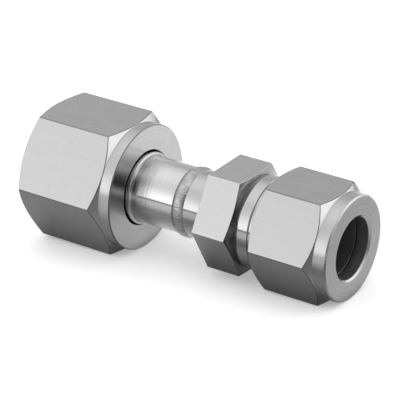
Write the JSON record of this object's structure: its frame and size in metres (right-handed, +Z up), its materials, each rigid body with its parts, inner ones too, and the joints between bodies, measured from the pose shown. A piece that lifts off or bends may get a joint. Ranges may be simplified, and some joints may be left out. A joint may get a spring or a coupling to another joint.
{
  "type": "face seal fitting",
  "caption": "Steel face seal fitting: loose female nut on a gland butt welded to a hexagon body, with a compression nut and ferrules for tube.",
  "frame": {"origin": "centre of the circle along the crown of the sealing bead on the gland's face", "axes": "+X along the fitting's axis from the face seal end towards the tube end, +Z up, normal to a flat of each hexagon, +Y across"},
  "size_m": [0.0723, 0.0312, 0.027],
  "materials": {
    "gland_steel": "fine turned, bright",
    "weld_steel": "as welded, fine ripples",
    "body_steel": "drawn flats, turned shoulders",
    "ferrule_steel": "fine turned",
    "tube_nut_steel": "drawn flats, turned ends",
    "seal_nut_steel": "drawn flats, turned ends"
  },
  "bodies": {
    "welded_body": {"gland": "gland_steel", "weld_bead": "weld_steel", "connector_body": "body_steel"},
    "swivel_nut": {"face_seal_nut": "seal_nut_steel"},
    "ferrule_set": {"front_ferrule": "ferrule_steel", "back_ferrule": "ferrule_steel"},
    "compression_nut": {"tube_nut": "tube_nut_steel"}
  },
  "joints": [
    {"name": "seal_nut_swivel", "type": "hinge", "parent": "welded_body", "child": "swivel_nut", "pos_m": [0.0055, 0, 0], "axis": [1, 0, 0], "continuous": true},
    {"name": "ferrule_travel", "type": "slide", "parent": "welded_body", "child": "ferrule_set", "axis": [1, 0, 0], "range_m": [0, 0.00765]},
    {"name": "tube_nut_turn", "type": "hinge", "parent": "ferrule_set", "child": "compression_nut", "pos_m": [0.048, 0, 0], "axis": [1, 0, 0], "range_deg": [0, 2160]}
  ],
  "couplings": [
    {"joint": "ferrule_travel", "follows": "tube_nut_turn", "m_per_rad": 0.00020213}
  ]
}
